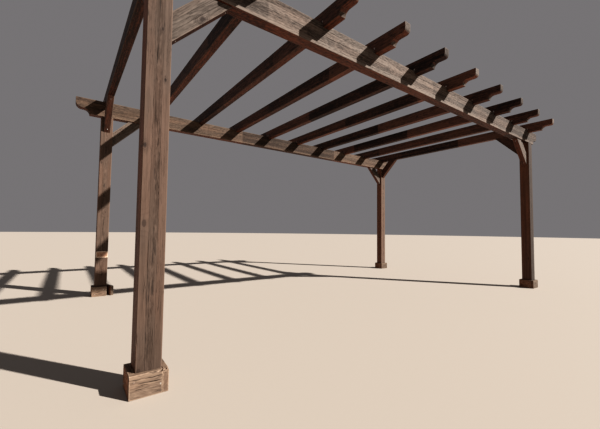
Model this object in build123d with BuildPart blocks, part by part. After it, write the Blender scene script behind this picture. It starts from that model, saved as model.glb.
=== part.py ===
from build123d import *
import math
import os

# Free-standing garden pergola in laminated pine: four posts, two beams, ten rafters, eight knee braces
# and a four-board skirting around the foot of every post. Millimetres, Z up, the origin is on the ground
# at the centre of the plan. The beams run along X and the rafters along Y. Front is -Y and left is -X.

# Plan
post_spacing_x = 5110
post_spacing_y = 2690

# Posts
post_size = 120
post_height = 2125
post_arris = 4

# Beams
beam_width = 90
beam_depth = 180
beam_overhang = 315
beam_bulge = 60
beam_shelf = 15
beam_cove = 62

# Rafters
rafter_count = 10
rafter_width = 65
rafter_depth = 125
rafter_overhang = 342
rafter_bulge = 30
rafter_shelf = 57
rafter_cove = 45
housing_depth = 30
housing_clearance = 1

# Knee braces
brace_width = 65
brace_depth = 120
brace_leg_beam = 343
brace_leg_rafter = 340

# Skirting boards
board_thickness = 28
board_height = 110
loose_board_angle = 16

# Levels and lengths that follow
beam_top = post_height + beam_depth
rafter_underside = beam_top - housing_depth
beam_length = post_spacing_x + 2 * beam_overhang
rafter_length = post_spacing_y + 2 * rafter_overhang
rafter_pitch = post_spacing_x / (rafter_count - 1)
brace_cut = brace_depth * math.sqrt(2)
board_length = post_size + board_thickness


def ogee_side(length, depth, bulge, shelf, cove):
    """Side view of a timber, its underside on the X axis, with both ends cut to an ogee: a square nose,
    a bulging quarter round, a short level shelf and a hollow quarter round that runs out underneath."""
    tip = length / 2
    shelf_level = cove
    nose_level = cove + bulge
    with BuildSketch() as side:
        with BuildLine():
            Line((0, depth), (tip, depth))
            Line((tip, depth), (tip, nose_level))
            CenterArc((tip - bulge, nose_level), bulge, 0, -90)
            Line((tip - bulge, shelf_level), (tip - bulge - shelf, shelf_level))
            CenterArc((tip - bulge - shelf, 0), cove, 90, 90)
            Line((tip - bulge - shelf - cove, 0), (0, 0))
            mirror(about=Plane.YZ)
        make_face()
    return side.sketch


os.makedirs("parts", exist_ok=True)

# Posts stand on the ground and carry the beams on their square tops.
for front_back, side_y in (("front", -1), ("back", 1)):
    for left_right, side_x in (("left", -1), ("right", 1)):
        with BuildPart() as post:
            with BuildSketch(Plane.XY):
                with Locations((side_x * post_spacing_x / 2, side_y * post_spacing_y / 2)):
                    RectangleRounded(post_size, post_size, post_arris)
            extrude(amount=post_height)
        post.part.label = f"post_{front_back}_{left_right}"
        export_step(post.part, f"parts/{post.part.label}.step")

# Beams lie along X on the post tops, centred on the posts, and show their ogee ends left and right.
beam_side = ogee_side(beam_length, beam_depth, beam_bulge, beam_shelf, beam_cove)
for front_back, side_y in (("front", -1), ("back", 1)):
    with BuildPart() as beam:
        with BuildSketch(Plane.XZ.offset(-side_y * post_spacing_y / 2)):
            with Locations((0, post_height)):
                add(beam_side)
        extrude(amount=beam_width / 2, both=True)
    beam.part.label = f"beam_{front_back}"
    export_step(beam.part, f"parts/{beam.part.label}.step")

# Rafters cross both beams. Each is housed over them: a slot in its underside drops over the beam.
rafter_side = ogee_side(rafter_length, rafter_depth, rafter_bulge, rafter_shelf, rafter_cove)
for number in range(rafter_count):
    rafter_x = number * rafter_pitch - post_spacing_x / 2
    with BuildPart() as rafter:
        with BuildSketch(Plane.YZ.offset(rafter_x)):
            with Locations((0, rafter_underside)):
                add(rafter_side)
            with Locations((-post_spacing_y / 2, rafter_underside), (post_spacing_y / 2, rafter_underside)):
                Rectangle(
                    beam_width + 2 * housing_clearance,
                    housing_depth,
                    align=(Align.CENTER, Align.MIN),
                    mode=Mode.SUBTRACT,
                )
        extrude(amount=rafter_width / 2, both=True)
    rafter.part.label = f"rafter_{number + 1:02d}"
    export_step(rafter.part, f"parts/{rafter.part.label}.step")

# Knee braces, mitred at 45 degrees. One on each post runs up to the beam and one to the end rafter.
for front_back, side_y in (("front", -1), ("back", 1)):
    for left_right, side_x in (("left", -1), ("right", 1)):
        beam_face = side_x * (post_spacing_x / 2 - post_size / 2)
        with BuildPart() as beam_brace:
            with BuildSketch(Plane.XZ.offset(-side_y * post_spacing_y / 2)):
                with BuildLine():
                    Polyline(
                        (beam_face, post_height - brace_leg_beam),
                        (beam_face - side_x * brace_leg_beam, post_height),
                        (beam_face - side_x * (brace_leg_beam - brace_cut), post_height),
                        (beam_face, post_height - brace_leg_beam + brace_cut),
                        close=True,
                    )
                make_face()
            extrude(amount=brace_width / 2, both=True)
        beam_brace.part.label = f"beam_brace_{front_back}_{left_right}"
        export_step(beam_brace.part, f"parts/{beam_brace.part.label}.step")

        rafter_face = side_y * (post_spacing_y / 2 - post_size / 2)
        with BuildPart() as rafter_brace:
            with BuildSketch(Plane.YZ.offset(side_x * post_spacing_x / 2)):
                with BuildLine():
                    Polyline(
                        (rafter_face, rafter_underside - brace_leg_rafter),
                        (rafter_face - side_y * brace_leg_rafter, rafter_underside),
                        (rafter_face - side_y * (brace_leg_rafter - brace_cut), rafter_underside),
                        (rafter_face, rafter_underside - brace_leg_rafter + brace_cut),
                        close=True,
                    )
                make_face()
            extrude(amount=brace_width / 2, both=True)
        rafter_brace.part.label = f"rafter_brace_{front_back}_{left_right}"
        export_step(rafter_brace.part, f"parts/{rafter_brace.part.label}.step")

# Skirting boards: four around each post foot, each lapping the end of the next, nailed to the post. On
# the back left post the right hand board has sprung loose and swung out about its rear outer corner.
for front_back, side_y in (("front", -1), ("back", 1)):
    for left_right, side_x in (("left", -1), ("right", 1)):
        centre = (side_x * post_spacing_x / 2, side_y * post_spacing_y / 2)
        for facing, turn in (("front", 0), ("right", 90), ("back", 180), ("left", 270)):
            sprung = (front_back, left_right, facing) == ("back", "left", "right")
            swing = loose_board_angle if sprung else 0
            foot = Plane(origin=(centre[0], centre[1], 0), x_dir=(1, 0, 0), z_dir=(0, 0, 1)).rotated((0, 0, turn))
            outer_face = -post_size / 2 - board_thickness
            hinge = foot.shift_origin(foot.from_local_coords((post_size / 2, outer_face, 0)))
            with BuildPart() as board:
                with BuildSketch(hinge.rotated((0, 0, swing))):
                    Rectangle(board_length, board_thickness, align=(Align.MAX, Align.MIN))
                extrude(amount=board_height)
            board.part.label = f"skirting_{front_back}_{left_right}_{facing}"
            export_step(board.part, f"parts/{board.part.label}.step")
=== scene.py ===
import math
import random

import bmesh
import bpy
from mathutils import Euler, Matrix, Vector


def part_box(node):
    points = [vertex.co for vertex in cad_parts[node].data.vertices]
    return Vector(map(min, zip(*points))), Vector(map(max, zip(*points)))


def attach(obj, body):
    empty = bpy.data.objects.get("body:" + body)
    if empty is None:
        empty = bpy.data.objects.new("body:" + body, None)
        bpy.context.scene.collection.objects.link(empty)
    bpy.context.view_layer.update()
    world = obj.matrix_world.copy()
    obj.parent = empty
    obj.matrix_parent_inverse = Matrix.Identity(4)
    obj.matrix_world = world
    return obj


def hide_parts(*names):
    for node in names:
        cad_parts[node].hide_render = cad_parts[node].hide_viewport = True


# A free-standing garden pergola in laminated pine: four posts, two beams, ten rafters, eight knee braces
# and a skirting of four boards round each post foot. Metres, +X along the beams, +Y along the rafters.
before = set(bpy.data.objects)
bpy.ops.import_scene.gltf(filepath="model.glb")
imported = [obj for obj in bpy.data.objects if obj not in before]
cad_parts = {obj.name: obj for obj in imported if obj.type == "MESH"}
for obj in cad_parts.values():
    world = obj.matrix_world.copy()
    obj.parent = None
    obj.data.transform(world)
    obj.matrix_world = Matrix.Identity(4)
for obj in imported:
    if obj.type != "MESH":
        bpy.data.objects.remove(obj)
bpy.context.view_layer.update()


# View. The photograph was taken from just outside the front left post with a very wide lens, held
# 0.8 m up and turned to look across the plan and a little upwards.
eye = Vector((-2.9005, -3.0942, 0.8000))
heading, tilt, roll = math.radians(36.45), math.radians(2.75), math.radians(0.65)
focal_pixels = 315.4
photo_width_pixels = 600
sensor_width = 36.0

looking = Vector((
    math.sin(heading) * math.cos(tilt),
    math.cos(heading) * math.cos(tilt),
    math.sin(tilt),
))
level_right = Vector((math.cos(heading), -math.sin(heading), 0))
level_up = level_right.cross(looking)
right = level_right * math.cos(roll) + level_up * math.sin(roll)
up = level_up * math.cos(roll) - level_right * math.sin(roll)

camera = bpy.data.objects.new("camera", bpy.data.cameras.new("camera"))
camera.data.sensor_width = sensor_width
camera.data.lens = focal_pixels / photo_width_pixels * sensor_width
camera.data.clip_start, camera.data.clip_end = 0.05, 500
camera.matrix_world = Matrix.Translation(eye) @ Matrix((right, up, -looking)).transposed().to_4x4()
bpy.context.scene.collection.objects.link(camera)
bpy.context.scene.camera = camera


# Studio. A wide pale floor in an even grey surround, with one key light that comes from the same side
# and height as the low sun: over the front right post.
light_travel = Vector((-0.735, 1.0, -0.78)).normalized()
sunward = -light_travel
surround_tone = (0.180, 0.173, 0.177, 1)
floor_tone = (0.365, 0.325, 0.285, 1)
floor_radius = 60

key = bpy.data.objects.new("key_light", bpy.data.lights.new("key_light", "SUN"))
key.data.energy = 7.5
key.data.angle = math.radians(0.9)
key.data.color = (1.0, 0.965, 0.92)
key.rotation_mode = "QUATERNION"
key.rotation_quaternion = light_travel.to_track_quat("-Z", "Y")
bpy.context.scene.collection.objects.link(key)

world = bpy.data.worlds.new("studio")
world.use_nodes = True
world.node_tree.nodes["Background"].inputs["Color"].default_value = surround_tone
world.node_tree.nodes["Background"].inputs["Strength"].default_value = 1.0
bpy.context.scene.world = world
bpy.context.scene.view_settings.view_transform = "Standard"
bpy.context.scene.view_settings.look = "High Contrast"

bm = bmesh.new()
bmesh.ops.create_circle(bm, cap_ends=True, segments=96, radius=floor_radius)
floor_mesh = bpy.data.meshes.new("floor")
bm.to_mesh(floor_mesh)
bm.free()
floor = bpy.data.objects.new("floor", floor_mesh)
floor_paint = bpy.data.materials.new("floor_paint")
floor_paint.use_nodes = True
floor_shader = floor_paint.node_tree.nodes["Principled BSDF"]
floor_shader.inputs["Base Color"].default_value = floor_tone
floor_shader.inputs["Roughness"].default_value = 0.9
floor_mesh.materials.append(floor_paint)
bpy.context.scene.collection.objects.link(floor)


# Posts. Four 120 mm square posts of laminated pine, three 40 mm boards glued face to face. They were
# stained dark brown; the sun has bleached the faces that look to the front and right. Those faces look to the
# key light and are painted lighter as well, and the others painted darker, as painted light and shade. The
# wood has dried and split along the grain, most of all down the middle of the front left post.
class Value:
    """A number or colour on a surface. Sums on it add the Math nodes that work them out."""

    def __init__(self, finish, socket):
        self.finish = finish
        self.socket = socket

    def math(self, operation, *others):
        return self.finish.math(operation, self, *others)

    def __add__(self, other):
        return self.math("ADD", other)

    def __sub__(self, other):
        return self.math("SUBTRACT", other)

    def __mul__(self, other):
        return self.math("MULTIPLY", other)

    def __truediv__(self, other):
        return self.math("DIVIDE", other)

    def __rsub__(self, other):
        return self.finish.math("SUBTRACT", other, self)

    def __gt__(self, other):
        return self.math("GREATER_THAN", other)

    def __lt__(self, other):
        return self.math("LESS_THAN", other)

    def __abs__(self):
        return self.math("ABSOLUTE")

    __radd__ = __add__
    __rmul__ = __mul__


class Finish:
    """A procedural material while it is put together, round its Principled shader."""

    def __init__(self, name):
        self.material = bpy.data.materials.new(name)
        self.material.use_nodes = True
        self.tree = self.material.node_tree
        self.shader = self.tree.nodes["Principled BSDF"]

    def node(self, kind, settings, inputs, output=0):
        """Adds one node, with its settings and its sockets' values or links, and gives what it puts out."""
        made = self.tree.nodes.new(kind)
        for setting, value in settings.items():
            setattr(made, setting, value)
        for socket, value in inputs.items():
            self.plug(made.inputs[socket], value)
        if isinstance(output, tuple):
            return [Value(self, made.outputs[o]) for o in output]
        return Value(self, made.outputs[output])

    def plug(self, socket, value):
        if isinstance(value, Value):
            self.tree.links.new(value.socket, socket)
        else:
            socket.default_value = value

    def math(self, operation, *values):
        return self.node("ShaderNodeMath", {"operation": operation}, dict(enumerate(values)))

    def vector(self, x, y, z):
        return self.node("ShaderNodeCombineXYZ", {}, {0: x, 1: y, 2: z})

    def parts(self, vector):
        return self.node("ShaderNodeSeparateXYZ", {}, {0: vector}, (0, 1, 2))

    def noise(self, x, y, z, detail=2.0, output="Fac"):
        place = {"Vector": self.vector(x, y, z), "Scale": 1.0, "Detail": detail}
        return self.node("ShaderNodeTexNoise", {}, place, output)

    def step(self, value, start, end):
        """0 below start, 1 above end and smooth between, and the other way round where end is the lower."""
        ends = {"Value": value, "From Min": start, "From Max": end}
        return self.node("ShaderNodeMapRange", {"interpolation_type": "SMOOTHSTEP"}, ends)

    def mix(self, factor, first, second):
        """The first colour where factor is 0 and the second where it is 1."""
        settings = {"data_type": "RGBA", "clamp_factor": True}
        return self.node("ShaderNodeMix", settings, {0: factor, 6: first, 7: second}, 2)

    def blend(self, factor, first, second):
        """The first number where factor is 0 and the second where it is 1."""
        return first * (1 - factor) + second * factor

    def times(self, colour, tint):
        """The colour with its red, green and blue each scaled by the tint."""
        return self.node("ShaderNodeVectorMath", {"operation": "MULTIPLY"}, {0: colour, 1: tint}, "Vector")

    def diagonal(self, one, other):
        """The length of the diagonal over two lengths."""
        return (one * one + other * other).math("SQRT")

    def facing(self, direction):
        """How squarely the surface faces a direction, from -1 to 1."""
        normal = self.node("ShaderNodeNewGeometry", {}, {}, "Normal")
        dot = {"operation": "DOT_PRODUCT"}
        return self.node("ShaderNodeVectorMath", dot, {0: normal, 1: direction}, "Value")


def rgb(red, green, blue):
    return (red, green, blue, 1.0)


def scaled(tone, factor):
    """The tone made lighter or darker by a factor."""
    return rgb(*[channel * factor for channel in tone[:3]])


class Timber:
    """One sawn timber: its node, the turn of its grain, its middle and its half sizes along the grain,
    across its thickness and across its laminations, how many laminations it is glued from, and what share
    of its length is straight, clear of shaped or mitred ends."""

    def __init__(self, node, turn=(0, 0, 0), laminations=1, straight=1.0):
        self.node = node
        self.turn = Euler([math.radians(a) for a in turn])
        self.laminations = laminations
        self.straight = straight
        self.grain = self.turn.to_matrix()
        points = [self.grain.inverted() @ v.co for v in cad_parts[node].data.vertices]
        low = Vector([min(p[i] for p in points) for i in range(3)])
        high = Vector([max(p[i] for p in points) for i in range(3)])
        self.half = (high - low) / 2
        self.middle = self.grain @ ((high + low) / 2)
        self.seed = sum(ord(c) * (i + 3) for i, c in enumerate(node)) % 997 / 10
        self.random = random.Random(node)

    def world(self, along, side, height):
        return self.middle + self.grain @ Vector((along, side, height))


class Pine(Finish):
    """Weathered pine on one timber. Its patterns lie in the timber's own frame: along the grain, side to
    side across its thickness, and by height through its laminations."""

    def __init__(self, timber, flat_sawn):
        super().__init__("pine_" + timber.node)
        self.timber = timber
        self.seed = timber.seed
        self.flat_sawn = flat_sawn
        self.thickness = 2 * timber.half.z / timber.laminations
        place = self.node("ShaderNodeTexCoord", {}, {}, "Object")
        own = {"Vector": place, "Location": timber.middle, "Rotation": timber.turn}
        own = self.node("ShaderNodeMapping", {"vector_type": "TEXTURE"}, own)
        self.along, self.side, self.height = self.parts(own)
        end_from, end_to, face_from = 0.75, 0.85, 0.7
        self.on_end = self.step(abs(self.facing(timber.grain @ Vector((1, 0, 0)))), end_from, end_to)
        self.lying = abs(self.facing(timber.grain @ Vector((0, 0, 1)))) > face_from

    def lot(self, number, output):
        """What is drawn by lot for a number."""
        return self.node("ShaderNodeTexWhiteNoise", {"noise_dimensions": "1D"}, {"W": number}, output)

    def set_hearts(self, stretches):
        """Gives each lamination a heart of its own, round which the rings wander a little, and each
        stretch of a finger jointed board a tone of its own."""
        top_face_in = 0.0001
        seed, side, middle_layer = self.seed, self.side, self.timber.laminations / 2
        self.layer = (self.height / self.thickness + middle_layer - top_face_in).math("FLOOR")
        heart_side, heart_height, self.layer_tone = self.parts(self.lot(self.layer + seed, "Color"))
        wander = self.noise(self.along * 1.3 + seed, self.layer * 5.3 + seed, 0.5, 2.0, "Color")
        sway_side, self.sway_height, self.layer_warmth = self.parts(wander)
        if self.flat_sawn:
            heart_spread = 0.02
            self.from_heart = side * 0.8 + 0.10 + (heart_side - 0.5) * 0.02 - (sway_side - 0.5) * 0.08
        else:
            heart_spread = 0.16
            self.from_heart = side - 0.055 - (heart_side - 0.5) * 0.06 - (sway_side - 0.5) * 0.12
        self.stretch_tone = 0.5
        if stretches:
            finger_width, finger_length = 0.003, 0.012
            finger = (side / finger_width).math("PINGPONG", 1.0) * finger_length
            stretch = ((self.along + finger) / stretches + seed).math("FLOOR")
            self.stretch_tone = self.lot(stretch * 3.7 + seed, "Value")
            self.from_heart = self.from_heart - self.stretch_tone * 0.03
        above_heart = self.height - (self.layer + 0.5 - middle_layer) * self.thickness
        above_heart = above_heart - (self.sway_height - 0.5) * 0.03
        self.above_heart = above_heart - (heart_height - 0.5) * heart_spread

    def grow_knots(self, spots):
        """Knots, one in every second stretch of a face and one at each spot, and how far they push the
        rings aside."""
        cells_along, cells_across, lying_shift = 1.7, 9, 0.371
        stretched, spot_stretched = 0.55, 0.6
        push_reach, push = 0.055, 0.016
        across = self.side * self.lying + self.height * (1 - self.lying) + self.lying * lying_shift
        cell_along = self.along * cells_along + self.seed * cells_along
        cell_across = across * cells_across + self.seed
        cell = {"Vector": self.vector(cell_along, cell_across, 0), "Scale": 1.0}
        cell_colour, cell_place = self.node(
            "ShaderNodeTexVoronoi", {"voronoi_dimensions": "2D"}, cell, ("Color", "Position"))
        knot_x, knot_y, _ = self.parts(cell_place)
        knot_chance, knot_size, _ = self.parts(cell_colour)
        off_along = (cell_along - knot_x) * (stretched / cells_along)
        off_across = (cell_across - knot_y) / cells_across
        distance = self.diagonal(off_along, off_across)
        there = (knot_chance > 0.5) * (1 - self.on_end)
        knot = self.step(distance - knot_size * 0.007, 0.0055, 0.0035) * there * 0.6
        for *spot, radius in spots:
            spot_along, _, spot_height = self.timber.grain.inverted() @ (Vector(spot) - self.timber.middle)
            off_along = (self.along - spot_along) * spot_stretched
            off = self.diagonal(off_along, self.height - spot_height) / radius
            swirl = self.step((off * 1.6).math("FRACT"), 0.4, 1.0) * self.step(off, 3.4, 1.4) * 0.7
            swirled = self.step(off, 1.1, 0.7).math("MAXIMUM", swirl)
            knot = knot.math("MAXIMUM", swirled * (self.side < 0.0))
        return knot, self.step(distance, push_reach, 0.0) * there * push

    def grow_rings(self, push, streak_length, streak_width):
        """Rings with their hard dark late wood, streaks of sapwood and stain, fibres, and mottling by the
        weather."""
        ring_spacing = 0.0062
        seed, along, side, height = self.seed, self.along, self.side, self.height
        self.ring = self.diagonal(self.from_heart, self.above_heart) + push
        self.fibre = self.noise(along * 9 + seed, side * 380, height * 380)
        self.streak = self.noise(
            along / streak_length + seed, side / streak_width, height / streak_width, 4.0)
        self.mottle = self.noise(along * 32 + seed, side * 110, height * 110, 3.0)
        self.patch = self.noise(along * 2.5 + seed, side * 8, height * 8 + seed, 3.0)
        self.band = self.noise(self.ring * 75 + seed, self.layer * 9.1, along * 0.6, 2.0)
        late = (self.ring / ring_spacing + self.fibre * 0.4).math("FRACT")
        self.late = self.step(late, 0.45, 0.88) * self.step(late, 1.0, 0.93)

    def lightness(self, streak_force, rough):
        """How light the wood is, from 0 for the dark tone to 1 for the light one, and how rough it is."""
        face_grain = (self.band - 0.5) * (0.5 if self.flat_sawn else 0.9)
        face_grain = face_grain + (self.streak - 0.5) * streak_force + (self.fibre - 0.5) * 0.6
        if self.flat_sawn:
            column = self.height + (self.sway_height - 0.5) * 0.05
            heartwood = self.step(abs(column), self.thickness * 0.45, self.thickness * 0.15)
            face_grain = face_grain + self.late * 0.1 - heartwood * (0.1 + self.late * 0.2)
            rough = rough + heartwood * 1.5
        face_grain = face_grain + (self.mottle - 0.5) * 0.9 * rough
        end_grain = (self.band - 0.5) * 1.0 - self.late * 0.35 - 0.27
        tone = self.blend(self.on_end, face_grain - self.late * 0.2, end_grain)
        tone = tone + (self.layer_tone - 0.5) * 0.3 + (self.patch - 0.5) * 0.5
        return tone + (self.stretch_tone - 0.5) * 0.8 + 0.55, rough

    def open_checks(self, rough):
        """Drying checks too fine to be modelled: hair lines along the faces, and rays on the ends."""
        seed, along, side, height = self.seed, self.along, self.side, self.height
        split = self.noise(along * 2.4 + seed + 7, side * 85, height * 85, 3.0)
        zone = self.noise(along * 1.7 + seed + 3, side * 11, height * 11)
        hair = self.step(abs(split - 0.5), 0.011, 0.0) * self.step(zone, 0.5, 0.62)
        check = self.noise(along * 12 + seed, side * 140, height * 140 + seed, 2.0)
        check = self.step(check, 0.6, 0.67)
        around = self.above_heart.math("ARCTAN2", self.from_heart)
        ray = self.noise(around * 14 + seed, self.layer, self.ring * 9)
        ray = self.step(abs(ray - 0.5), 0.015, 0.0)
        return self.blend(self.on_end, (check * rough + hair).math("MINIMUM", 1.0) * 0.7, ray * 0.8)

    def measure_faces(self):
        """How far a point is from the ends and faces, and from the nearest arris."""
        half = self.timber.half
        self.to_end = half.x - abs(self.along)
        to_side = half.y - abs(self.side)
        self.to_face = half.z - abs(self.height)
        self.nearest = to_side.math("MINIMUM", self.to_face)
        farther = to_side.math("MAXIMUM", self.to_face)
        # the second nearest pair of faces tells how far off the arris is
        self.arris = self.nearest.math("MAXIMUM", farther.math("MINIMUM", self.to_end))

    def glue_line(self):
        """The lines between the laminations."""
        fades_from, dark_to, off_face = 0.0016, 0.0003, 0.01
        level = self.height / self.thickness + self.timber.laminations / 2
        joint = abs(level - (level + 0.5).math("FLOOR")) * self.thickness
        return self.step(joint, fades_from, dark_to) * (self.to_face > off_face)

    def shade_inside_splits(self):
        """Painted shade in the modelled splits, darker the deeper a point lies. An ogee end isn't a split, so
        the ends are left out.
        """
        darkens_from, dark_to, off_arris = 0.0014, 0.004, 0.014
        depth = self.nearest.math("MINIMUM", self.to_end)
        straight = self.to_end > self.timber.half.x * (1 - self.timber.straight)
        return self.step(depth, darkens_from, dark_to) * (self.arris > off_arris) * straight

    def wear(self, pale_edge):
        """Worn arrises, and the band along one edge that has washed out."""
        worn_width, bare_width, bareness = 0.007, 0.0005, 0.8
        ragged = self.arris + (self.streak - 0.5) * 0.012 + (self.fibre - 0.5) * 0.004
        worn = self.step(ragged, worn_width, bare_width) * bareness
        if not pale_edge:
            return worn
        half = self.timber.half
        to_edge = half.z - self.height if pale_edge > 0 else half.z + self.height
        washed = self.step(to_edge + (self.mottle - 0.5) * 0.012, abs(pale_edge), abs(pale_edge) * 0.75)
        return worn.math("MAXIMUM", washed * (1 - self.lying) * (self.patch * 0.5 + 0.15))


def pine(
    timber, bleached_and_lit_tones, stained_and_shaded_tones, streaks=(0.5, 0.011, 1.2), rough=1.0, flat_sawn=False, pale_edge=0.0,
    stretches=0.0, knots=(),
):
    """Stained pine, weathered: bleached_and_lit_tones and stained_and_shaded_tones are each a dark and a
    light tone of the wood, for the faces that see the sun, where the key light comes from, and those that
    don't; the difference is partly real bleaching and partly painted light and painted shade. streaks says
    how long, how wide and how strong the streaks of the grain are, rough how far the weather has mottled it
    and opened short checks, flat_sawn whether the middle lamination shows the heart of the log, dark and full
    of short checks, and pale_edge how wide a band has washed out along the upper edge, or below 0 along the
    lower one.
    stretches is the length of the boards that are finger jointed end to end, and knots lists x, y, z and
    radius on the front face."""
    shaded_bare = rgb(0.085, 0.048, 0.032)
    knot_tone = rgb(0.018, 0.009, 0.006)
    # the dark of hair checks and glue lines, also used as painted shade in the modelled splits
    crack_and_split_shade_tone = rgb(0.010, 0.006, 0.004)
    # the second tint is painted bounce light, warming the downward faces
    warm_tint, painted_bounce_tint = (1.06, 0.94, 0.87), (1.45, 1.02, 0.80)
    streak_length, streak_width, streak_force = streaks

    wood = Pine(timber, flat_sawn)
    wood.set_hearts(stretches)
    knot, push = wood.grow_knots(knots)
    wood.grow_rings(push, streak_length, streak_width)
    tone, rough = wood.lightness(streak_force, rough)
    hair = wood.open_checks(rough)
    wood.measure_faces()
    joint = wood.glue_line()
    split_shade = wood.shade_inside_splits()
    worn = wood.wear(pale_edge)

    # faces toward the sun, where the key light comes from, take the lighter tones and the others the darker
    # ones: partly real bleaching by the sun, partly painted light on the lit faces and painted shade on the
    # others
    bleach_and_painted_light = wood.step(wood.facing(sunward) + (wood.patch - 0.5) * 0.5, 0.0, 0.42)
    colour = wood.mix(
        bleach_and_painted_light,
        wood.mix(tone, stained_and_shaded_tones[0], stained_and_shaded_tones[1]),
        wood.mix(tone, bleached_and_lit_tones[0], bleached_and_lit_tones[1]),
    )
    warmth = wood.step(wood.layer_warmth + wood.patch, 0.85, 1.2) * 0.7
    colour = wood.mix(warmth, colour, wood.times(colour, warm_tint))
    # painted bounce light: downward faces turned from the key light are painted warmer, as if lit by the warm
    # ground
    bounce_from_below = wood.step(wood.facing(Vector((0, 0, -1))), 0.4, 0.9)
    colour = wood.mix(bounce_from_below * (1 - bleach_and_painted_light), colour, wood.times(colour, painted_bounce_tint))
    # worn arrises are pale with wear, painted brighter still where they face the key light, a painted
    # highlight, and darker where they face away from it, painted shade
    bare_lit_and_shaded = wood.mix(bleach_and_painted_light, shaded_bare, scaled(bleached_and_lit_tones[1], 1.3))
    colour = wood.mix(worn, colour, bare_lit_and_shaded)
    colour = wood.mix(knot * 0.9, colour, knot_tone)
    # hair checks and glue lines are dark wood; the modelled splits get painted shade
    colour = wood.mix(hair * 0.8 + joint * 0.3 + split_shade * 0.9, colour, crack_and_split_shade_tone)

    relief = wood.band * 0.2 + wood.streak * 0.5 + wood.fibre * 0.25 + wood.mottle * 0.35
    relief = relief + wood.late * 0.15 - hair * 0.9 - joint * 0.5 - knot * 0.3
    bump = {"Strength": 0.9, "Distance": 0.001, "Height": relief}
    wood.plug(wood.shader.inputs["Base Color"], colour)
    wood.plug(wood.shader.inputs["Roughness"], bleach_and_painted_light * 0.2 + 0.6 - (tone - 0.5) * 0.08)
    wood.plug(wood.shader.inputs["Normal"], wood.node("ShaderNodeBump", {}, bump, "Normal"))
    wood.shader.inputs["Specular IOR Level"].default_value = 0.35
    return wood.material


def score_glue_lines(timber, bm):
    """Cuts a fine groove along each glue line, that opens and closes along its length."""
    touch, bed_reach = 0.00001, 0.00005
    cross_cuts, clear_of_end = (0.14, 0.32), 0.05
    groove_width, groove_depths = 0.0007, (0.0002, 0.0005, 0.0012)

    # cross cuts first, so that each stretch of a glue line can have a depth of its own
    span = -timber.half.x + clear_of_end
    while span < timber.half.x - clear_of_end:
        bmesh.ops.bisect_plane(
            bm, geom=bm.verts[:] + bm.edges[:] + bm.faces[:], dist=touch,
            plane_co=timber.world(span, 0, 0), plane_no=timber.grain @ Vector((1, 0, 0)))
        span += timber.random.uniform(*cross_cuts)

    normal = timber.grain @ Vector((0, 0, 1))
    for joint in range(1, timber.laminations):
        height = timber.half.z * (2 * joint / timber.laminations - 1)
        level = timber.world(0, 0, height)
        bmesh.ops.bisect_plane(
            bm, geom=bm.verts[:] + bm.edges[:] + bm.faces[:], dist=touch,
            plane_co=level, plane_no=normal)
        line = [e for e in bm.edges if all(abs((v.co - level).dot(normal)) < touch for v in e.verts)]
        scored = bmesh.ops.bevel(
            bm, geom=line, affect="EDGES", offset=groove_width, segments=2, profile=0.5,
            clamp_overlap=True, material=-1)
        bm.normal_update()
        bed = {v for f in scored["faces"] for v in f.verts if abs((v.co - level).dot(normal)) < bed_reach}
        moves = [(v, v.normal.copy()) for v in bed]
        moves.sort(key=lambda m: (round(m[0].co.x, 5), round(m[0].co.y, 5), round(m[0].co.z, 5)))
        for vert, outward in moves:
            vert.co -= outward * timber.random.choice(groove_depths)


def sawn(timber, arris):
    """The timber's solid, its flat faces whole again, its sharp arrises rounded and its glue lines scored."""
    weld, square = 0.00002, 0.9999
    flat, least_facet, most_facet, corner = (math.radians(angle) for angle in (1, 1.5, 30, 40))
    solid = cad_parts[timber.node].data.copy()
    if "custom_normal" in solid.attributes:
        solid.attributes.remove(solid.attributes["custom_normal"])
    bm = bmesh.new()
    bm.from_mesh(solid)
    bpy.data.meshes.remove(solid)
    bmesh.ops.remove_doubles(bm, verts=bm.verts, dist=weld)
    bmesh.ops.dissolve_limit(bm, angle_limit=flat, verts=bm.verts, edges=bm.edges)
    sharp = [e for e in bm.edges if len(e.link_faces) == 2 and e.calc_face_angle() > corner]
    for edge in bm.edges:
        if least_facet < edge.calc_face_angle() < most_facet:
            for face in edge.link_faces:
                face.smooth = True
    made = bmesh.ops.bevel(
        bm, geom=sharp, affect="EDGES", offset=arris, segments=2, profile=0.5,
        clamp_overlap=True, material=-1)
    for face in made["faces"]:
        face.smooth = True

    if timber.laminations > 1:
        score_glue_lines(timber, bm)

    # the planed faces are shaded flat, so that the rim of a split doesn't darken the wood round it
    bm.normal_update()
    to_grain = timber.grain.inverted()
    for face in bm.faces:
        if max(abs(part) for part in to_grain @ face.normal) > square:
            face.smooth = False
    return bm


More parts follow.
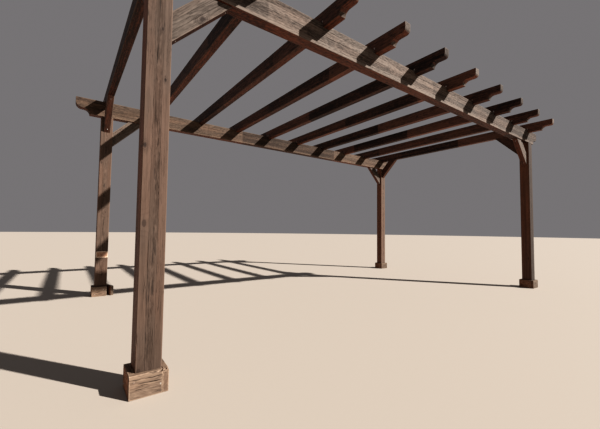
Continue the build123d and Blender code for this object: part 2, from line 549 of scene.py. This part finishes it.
class Cuts:
    """What is taken out of a timber: closed lumps, in batches in which no two of them meet. A face is
    given as (axis, sign): axis 1 for the faces across the thickness, 2 for those across the laminations."""

    def __init__(self, timber):
        self.timber = timber
        self.batches = []

    def room(self, low, high):
        """The first batch that has nothing between two corners in the timber's own frame."""
        for batch, taken in self.batches:
            if all(any(high[i] < a[i] or low[i] > b[i] for i in range(3)) for a, b in taken):
                break
        else:
            batch, taken = bmesh.new(), []
            self.batches.append((batch, taken))
        taken.append((low, high))
        return batch

    def split(self, face, along, across, length, width, depth, wave):
        """Opens a split along the grain, a long thin lens in shape that waves a little."""
        off_face, bluntness, waves = 0.0004, 0.3, 4.1
        timber, (axis, sign) = self.timber, face
        middle, reach = Vector((along, 0, 0)), Vector((length / 2, 0, 0))
        middle[axis], reach[axis] = sign * (timber.half[axis] + off_face), depth
        middle[3 - axis], reach[3 - axis] = across, width / 2 + 2 * wave
        batch = self.room(middle - reach, middle + reach)
        made = bmesh.ops.create_uvsphere(batch, u_segments=8, v_segments=10, radius=1)
        phase = timber.random.uniform(0, 6.28)
        for vert in made["verts"]:
            run = vert.co.z
            taper = max(0.0, 1 - run * run) ** bluntness
            bend = wave * (math.sin(waves * run + phase) - math.sin(phase))
            local = middle + Vector((run * length / 2, 0, 0))
            local[3 - axis] += vert.co.x * taper * width / 2 + bend
            local[axis] += sign * vert.co.y * taper * depth
            vert.co = timber.world(*local)

    def chip(self, signs, along, length, size):
        """Takes a chip out of an arris, or with one sign 0 out of the middle of a face."""
        smallest, largest, clearance = 0.8, 1.1, 1.12
        timber = self.timber
        middle = Vector((along, signs[0] * timber.half.y, signs[1] * timber.half.z))
        reach = Vector((length / 2, size, size)) * clearance
        batch = self.room(middle - reach, middle + reach)
        made = bmesh.ops.create_icosphere(batch, subdivisions=2, radius=1)
        for vert in made["verts"]:
            rough = timber.random.uniform(smallest, largest)
            vert.co = timber.world(*(middle + rough * vert.co * Vector((length / 2, size, size))))

    def weather(self, splits, chips, faces, longest=0.3):
        """Splits at random places on the faces, and chips at random places on the arrises."""
        split_from_end, split_from_arris, chip_from_end = 0.02, 0.014, 0.05
        timber, draw = self.timber, self.timber.random.uniform
        reach = timber.half.x * timber.straight
        for _ in range(splits):
            face = timber.random.choice(faces)
            length = min(draw(0.2, 1.0) * longest, reach * 0.6)
            along = draw(-1, 1) * (reach - length / 2 - split_from_end)
            across = draw(-1, 1) * (timber.half[3 - face[0]] - split_from_arris)
            width, depth, wave = draw(0.0012, 0.003), draw(0.003, 0.009), draw(0, 0.003)
            self.split(face, along, across, length, width, depth, wave)
        for _ in range(chips):
            signs = (timber.random.choice((-1, 1)), timber.random.choice((-1, 1)))
            along = draw(-1, 1) * (reach - chip_from_end)
            length, size = draw(0.02, 0.09), draw(0.002, 0.0045)
            self.chip(signs, along, length, size)


def dressed(timber, bm, cuts, finish):
    """Makes the piece: the sawn timber less its cuts, in place of the node it was sawn from."""
    mesh = bpy.data.meshes.new(timber.node)
    bm.to_mesh(mesh)
    bm.free()
    piece = bpy.data.objects.new("dressed_" + timber.node, mesh)
    bpy.context.scene.collection.objects.link(piece)
    for batch, _ in cuts.batches:
        batch.normal_update()
        bmesh.ops.recalc_face_normals(batch, faces=batch.faces)
        lumps = bpy.data.meshes.new("lumps")
        batch.to_mesh(lumps)
        batch.free()
        tool = bpy.data.objects.new("lumps", lumps)
        bpy.context.scene.collection.objects.link(tool)
        cut = piece.modifiers.new("cut", "BOOLEAN")
        cut.operation, cut.solver, cut.object = "DIFFERENCE", "EXACT", tool
        result = bpy.data.meshes.new_from_object(piece.evaluated_get(bpy.context.evaluated_depsgraph_get()))
        piece.modifiers.clear()
        bpy.data.objects.remove(tool)
        # a batch that would leave the wood open, or none of it, isn't cut
        check = bmesh.new()
        check.from_mesh(result)
        if check.faces and all(len(e.link_faces) == 2 for e in check.edges):
            piece.data = result
        check.free()
    piece.data.materials.clear()
    piece.data.materials.append(finish)
    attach(piece, "root")
    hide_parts(timber.node)


# tones for the faces toward the key light and for those turned from it: real bleaching and stain, with
# painted light and painted shade
post_bleached_and_lit = (rgb(0.047, 0.030, 0.021), rgb(0.107, 0.073, 0.055))
post_stained_and_shaded = (rgb(0.050, 0.022, 0.013), rgb(0.215, 0.098, 0.058))
# how far each post's sunny faces have bleached
post_bleaching = {"front_left": 1.0, "front_right": 0.5, "back_left": 1.25, "back_right": 1.25}
# the splits in the front face of the front left post: across and up from its middle, length and width
split_depth, split_wave, split_closed_to = 0.007, 0.0015, 0.45
front_splits = (
    (-0.008, 0.624, 0.11, 0.0035), (-0.005, 0.473, 0.09, 0.0025), (-0.019, 0.378, 0.08, 0.003),
    (-0.006, 0.318, 0.12, 0.003), (0.004, 0.248, 0.09, 0.004), (0.008, 0.148, 0.12, 0.0025),
    (0.013, 0.048, 0.11, 0.004), (0.013, -0.032, 0.07, 0.003), (0.020, -0.077, 0.06, 0.004),
    (-0.033, -0.554, 0.12, 0.003), (0.010, -0.792, 0.09, 0.003),
    (0.012, -0.857, 0.12, 0.003), (0.010, -0.922, 0.07, 0.0025), (-0.021, -0.442, 0.26, 0.002),
    (0.034, 0.502, 0.05, 0.003),
)
front_knots = (
    (-2.606, -1.405, 1.209, 0.008), (-2.541, -1.405, 1.821, 0.006), (-2.521, -1.405, 1.559, 0.006),
)
for name, bleaching in post_bleaching.items():
    post = Timber("post_" + name, turn=(0, -90, 0), laminations=3)
    cuts = Cuts(post)
    faces = [(1, 1), (2, 1), (2, -1)]
    if name == "front_left":
        knots = front_knots
        for across, level, length, width in front_splits:
            width = width * split_closed_to
            cuts.split((1, -1), level, -across, length, width, split_depth, split_wave)
    else:
        knots = ()
        faces.append((1, -1))
    cuts.weather(splits=12, chips=8, faces=faces)
    bleached_and_lit_tones = [scaled(tone, bleaching) for tone in post_bleached_and_lit]
    finish = pine(
        post, bleached_and_lit_tones, post_stained_and_shaded, streaks=(1.4, 0.012, 1.2), rough=0.3, flat_sawn=True, knots=knots)
    dressed(post, sawn(post, arris=0.003), cuts, finish)


# Beams. Two laminated beams, 90 x 180 mm, four 45 mm boards glued flat. They lie on the post tops and
# carry the rafters. The front faces have lost most of their stain and turned grey brown; facing the key
# light, they are also painted lighter, and the faces turned from it painted darker, as painted light and
# shade.
# tones for the faces toward the key light and for those turned from it: bleaching and stain, with painted
# light and painted shade
roof_bleached_and_lit = (rgb(0.036, 0.026, 0.020), rgb(0.138, 0.109, 0.090))
back_bleached_and_lit = (rgb(0.028, 0.0175, 0.012), rgb(0.107, 0.072, 0.049))
roof_stained_and_shaded = (rgb(0.012, 0.005, 0.0034), rgb(0.128, 0.059, 0.038))
for name, bleached_and_lit_tones in (("front", roof_bleached_and_lit), ("back", back_bleached_and_lit)):
    beam = Timber("beam_" + name, laminations=4, straight=0.94)
    cuts = Cuts(beam)
    cuts.weather(splits=34, chips=12, longest=0.45, faces=((1, 1), (1, -1), (2, -1)))
    finish = pine(
        beam, bleached_and_lit_tones, roof_stained_and_shaded, streaks=(0.22, 0.010, 1.0), rough=1.9, pale_edge=-0.026, stretches=1.9)
    dressed(beam, sawn(beam, arris=0.004), cuts, finish)


# Rafters. Ten laminated rafters, 65 x 125 mm, housed over both beams and cut to an ogee at each end.
# They are seen from below, where the old dark stain has lasted; faces turned from the key light are also
# painted darker, as painted shade.
rafters = []
for number in range(1, 11):
    rafter = Timber(f"rafter_{number:02d}", turn=(0, 0, 90), laminations=3, straight=0.9)
    rafters.append(rafter)
    cuts = Cuts(rafter)
    cuts.weather(splits=10, chips=5, faces=((1, 1), (1, -1)))
    finish = pine(rafter, roof_bleached_and_lit, roof_stained_and_shaded, rough=1.8, stretches=1.15)
    dressed(rafter, sawn(rafter, arris=0.003), cuts, finish)


def screw_head(bm, place, outward, radius=0.005):
    """Adds one low screw head with a socket, half of it sunk in the wood."""
    head_height, socket_draft, socket_depth = 0.0018, 0.0001, 0.001
    before = len(bm.verts)
    made = bmesh.ops.create_cone(
        bm, cap_ends=True, segments=12, radius1=radius, radius2=radius * 0.8, depth=head_height)
    top = max({f for v in made["verts"] for f in v.link_faces}, key=lambda f: f.calc_center_median().z)
    bmesh.ops.inset_individual(bm, faces=[top], thickness=radius * 0.35)
    bmesh.ops.inset_individual(bm, faces=[top], thickness=socket_draft, depth=-socket_depth)
    turn = outward.to_track_quat("Z", "Y").to_matrix().to_4x4()
    bmesh.ops.transform(bm, matrix=Matrix.Translation(place) @ turn, verts=list(bm.verts)[before:])


def fitting(name, bm, *finishes):
    """Makes a piece of its own from a bmesh, fixed to the frame."""
    bmesh.ops.recalc_face_normals(bm, faces=bm.faces)
    mesh = bpy.data.meshes.new(name)
    bm.to_mesh(mesh)
    bm.free()
    for finish in finishes:
        mesh.materials.append(finish)
    piece = bpy.data.objects.new(name, mesh)
    bpy.context.scene.collection.objects.link(piece)
    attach(piece, "root")


def zinc(name, rust_from):
    """Zinc plating gone dull, with rust coming through in spots, the more the lower rust_from is."""
    plating = Finish(name)
    place = plating.node("ShaderNodeTexCoord", {}, {}, "Object")
    dull = plating.node("ShaderNodeTexNoise", {}, {"Vector": place, "Scale": 240.0, "Detail": 3.0})
    rust = plating.node("ShaderNodeTexNoise", {}, {"Vector": place, "Scale": 35.0, "Detail": 5.0})
    rust = plating.step(rust, rust_from, rust_from + 0.12)
    colour = plating.mix(dull, rgb(0.42, 0.40, 0.37), rgb(0.74, 0.72, 0.68))
    plating.plug(plating.shader.inputs["Base Color"], plating.mix(rust, colour, rgb(0.17, 0.075, 0.035)))
    plating.plug(plating.shader.inputs["Metallic"], 0.5 - rust * 0.45)
    plating.plug(plating.shader.inputs["Roughness"], dull * 0.3 + rust * 0.3 + 0.32)
    return plating.material


screw_zinc = zinc("zinc_plating", 0.52)
# driven askew from both sides into the front of the beam, staggered so that the two screws pass each other
screw_behind_face, screw_stagger, screw_above_beam = 0.018, 0.013, 0.017
bm = bmesh.new()
for rafter in rafters:
    for name in ("front", "back"):
        low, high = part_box("beam_" + name)
        for hand in (-1, 1):
            side_face = rafter.middle.x + hand * rafter.half.y
            along_rafter = low[1] + screw_behind_face + hand * screw_stagger
            place = Vector((side_face, along_rafter, high[2] + screw_above_beam))
            screw_head(bm, place, Vector((hand, 0, 0)), radius=0.007)
fitting("rafter_screws", bm, screw_zinc)


# Knee braces. Eight laminated braces, 65 x 120 mm, mitred at both ends and screwed: from each post one
# runs up to the beam and one to the end rafter.
brace_knots = {"beam_brace_front_left": ((-2.33, -1.378, 1.975, 0.012),)}
brace_screw_from_end = 0.045
braces = []
for front_back, rise_y in (("front", 90), ("back", -90)):
    for left_right, rise_x in (("left", -45), ("right", -135)):
        for kind, turn in (("beam", (0, rise_x, 0)), ("rafter", (0, -45, rise_y))):
            node = f"{kind}_brace_{front_back}_{left_right}"
            braces.append(Timber(node, turn, laminations=3, straight=0.5))
for brace in braces:
    cuts = Cuts(brace)
    cuts.weather(splits=4, chips=2, longest=0.14, faces=((1, 1), (1, -1)))
    knots = brace_knots.get(brace.node, ())
    finish = pine(brace, roof_bleached_and_lit, roof_stained_and_shaded, streaks=(0.4, 0.011, 0.5), rough=0.9, knots=knots)
    dressed(brace, sawn(brace, arris=0.003), cuts, finish)

bm = bmesh.new()
for brace in braces:
    below = -1 if (brace.grain @ Vector((0, 0, 1))).z > 0 else 1
    for end in (-1, 1):
        place = brace.world(end * (brace.half.x - brace_screw_from_end), 0, below * brace.half.z)
        screw_head(bm, place, brace.grain @ Vector((0, 0, below)))
fitting("brace_screws", bm, screw_zinc)


# Skirting boards. Four boards, 28 x 110 mm, screwed round each post foot, each lapping the end of the
# next. Rain splash has taken their stain off and opened the grain; one board has sprung loose.
# tones for the faces toward the key light and for those turned from it, wear and stain with painted light and
# painted shade; the shaded tones are also painted lighter and warmer, as painted bounce light off the ground
board_bleached_and_lit = (rgb(0.095, 0.064, 0.046), rgb(0.225, 0.165, 0.121))
board_stained_and_shaded = (rgb(0.190, 0.090, 0.053), rgb(0.490, 0.262, 0.158))
# the skirting of the right posts has kept more of its stain
board_bleaching = {"front_left": 1.0, "front_right": 0.62, "back_left": 0.82, "back_right": 0.62}
loose_turn = {"skirting_back_left_right": 16}
board_screw_from_end, screw_low, screw_high = 0.034, -0.028, 0.026


def board_cuts(board):
    """The splits and chips of a board. Two of the front left post are so near that theirs are placed."""
    split_depth, split_wave = 0.010, 0.001
    cuts = Cuts(board)
    if board.node == "skirting_front_left_front":
        # open splits, below a top arris that has worn away
        for along, level, length, width in (
            (0.036, 0.010, 0.080, 0.005), (-0.016, 0.004, 0.06, 0.003), (0.028, 0.030, 0.085, 0.004),
            (-0.044, 0.034, 0.070, 0.003), (-0.022, -0.012, 0.05, 0.002),
        ):
            cuts.split((1, -1), along, level, length, width, split_depth, split_wave)
        for along, length, size in (
            (0.030, 0.09, 0.011), (0.058, 0.05, 0.013), (-0.020, 0.08, 0.008), (-0.055, 0.05, 0.005),
        ):
            cuts.chip((-1, 1), along, length, size)
    elif board.node == "skirting_front_left_right":
        # a rotten hole in the top of its front end, and its front arris gone
        cuts.chip((0, 1), 0.006 - board.half.x, 0.016, 0.006)
        cuts.chip((-1, 1), 0.010 - board.half.x, 0.040, 0.008)
        cuts.chip((1, 1), 0.034 - board.half.x, 0.050, 0.005)
    else:
        cuts.weather(splits=4, chips=3, longest=0.12, faces=((1, -1),))
    return cuts


boards = {}
for post_name, bleaching in board_bleaching.items():
    bleached_and_lit_tones = [scaled(tone, bleaching) for tone in board_bleached_and_lit]
    stained_and_shaded_tones = [scaled(tone, (bleaching + 1) / 2) for tone in board_stained_and_shaded]
    for facing, turn in (("front", 0), ("right", 90), ("back", 180), ("left", 270)):
        node = f"skirting_{post_name}_{facing}"
        board = boards[node] = Timber(node, (0, 0, turn + loose_turn.get(node, 0)))
        finish = pine(
            board, bleached_and_lit_tones, stained_and_shaded_tones, streaks=(0.3, 0.012, 1.0), rough=1.5, pale_edge=0.016)
        cuts = board_cuts(board)
        dressed(board, sawn(board, arris=0.0016), cuts, finish)

bm = bmesh.new()
for node, board in boards.items():
    if node == "skirting_front_left_front":
        places = [(-0.052, screw_high)]
    else:
        from_middle = board.half.x - board_screw_from_end
        places = [(end * from_middle, level) for end in (-1, 1) for level in (screw_low, screw_high)]
    for along, level in places:
        place = board.world(along, -board.half.y, level)
        screw_head(bm, place, board.grain @ Vector((0, -1, 0)), radius=0.004)
fitting("skirting_screws", bm, zinc("zinc_rusted", 0.40))

# one screw in the front of the front left skirting is still bright
bm = bmesh.new()
board = boards["skirting_front_left_front"]
screw_head(bm, board.world(0.064, -board.half.y, -0.009), Vector((0, -1, 0)), radius=0.004)
fitting("bright_screw", bm, screw_zinc)


# Plate. A small clay plate with a glazed rim, as wide as the post, is pinned to the front of the back
# left post, 0.45 m up. It is plain.
plate_low, plate_high, plate_thickness = 0.446, 0.519, 0.004
plate_rim, plate_corner, plate_edge = 0.009, 0.006, 0.0008
panel_bevel, panel_sunk = 0.0006, 0.0012
plate_bedded = 0.0005
pin_radius = 0.0022
low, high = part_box("post_back_left")
plate_back = low[1] + plate_bedded
plate_middle = Vector((
    (low[0] + high[0]) / 2,
    plate_back - plate_thickness / 2,
    (plate_low + plate_high) / 2,
))
plate_size = Vector((high[0] - low[0], plate_thickness, plate_high - plate_low))


def glazed_clay(name, dark, light, roughness):
    """Fired clay, mottled by the glaze, with fine crazing."""
    clay = Finish(name)
    place = clay.node("ShaderNodeTexCoord", {}, {}, "Object")
    cloud = clay.node("ShaderNodeTexNoise", {}, {"Vector": place, "Scale": 55.0, "Detail": 5.0})
    speck = clay.node("ShaderNodeTexNoise", {}, {"Vector": place, "Scale": 420.0, "Detail": 2.0})
    colour = clay.mix(clay.step(cloud + (speck - 0.5) * 0.4, 0.35, 0.65), dark, light)
    clay.plug(clay.shader.inputs["Base Color"], colour)
    clay.plug(clay.shader.inputs["Roughness"], cloud * 0.3 + roughness)
    bump = {"Strength": 0.5, "Distance": 0.0006, "Height": cloud + speck * 0.4}
    clay.plug(clay.shader.inputs["Normal"], clay.node("ShaderNodeBump", {}, bump, "Normal"))
    return clay.material


bm = bmesh.new()
bmesh.ops.create_cube(bm, size=1.0)
fit = Matrix.Translation(plate_middle) @ Matrix.Diagonal(plate_size).to_4x4()
bmesh.ops.transform(bm, matrix=fit, verts=bm.verts)
corners = [e for e in bm.edges if abs((e.verts[0].co - e.verts[1].co).y) > plate_thickness / 2]
bmesh.ops.bevel(
    bm, geom=corners, affect="EDGES", offset=plate_corner, segments=4, profile=0.5, material=-1)
front = min(bm.faces, key=lambda f: f.calc_center_median().y)
bmesh.ops.bevel(
    bm, geom=list(front.edges), affect="EDGES", offset=plate_edge, segments=2, profile=0.5, material=-1)
front = min(bm.faces, key=lambda f: (f.calc_center_median().y, -f.calc_area()))
bmesh.ops.inset_individual(bm, faces=[front], thickness=plate_rim)
bmesh.ops.inset_individual(bm, faces=[front], thickness=panel_bevel, depth=-panel_sunk)
front.material_index = 1
fitting(
    "post_plate", bm,
    glazed_clay("plate_rim_glaze", rgb(0.36, 0.26, 0.19), rgb(0.56, 0.43, 0.33), 0.25),
    glazed_clay("plate_clay", rgb(0.20, 0.105, 0.065), rgb(0.36, 0.21, 0.135), 0.5),
)
bm = bmesh.new()
for hand in (-1, 1):
    place = plate_middle + Vector((hand * (plate_size.x / 2 - plate_rim / 2), -plate_thickness / 2, 0))
    screw_head(bm, place, Vector((0, -1, 0)), radius=pin_radius)
fitting("plate_pins", bm, screw_zinc)
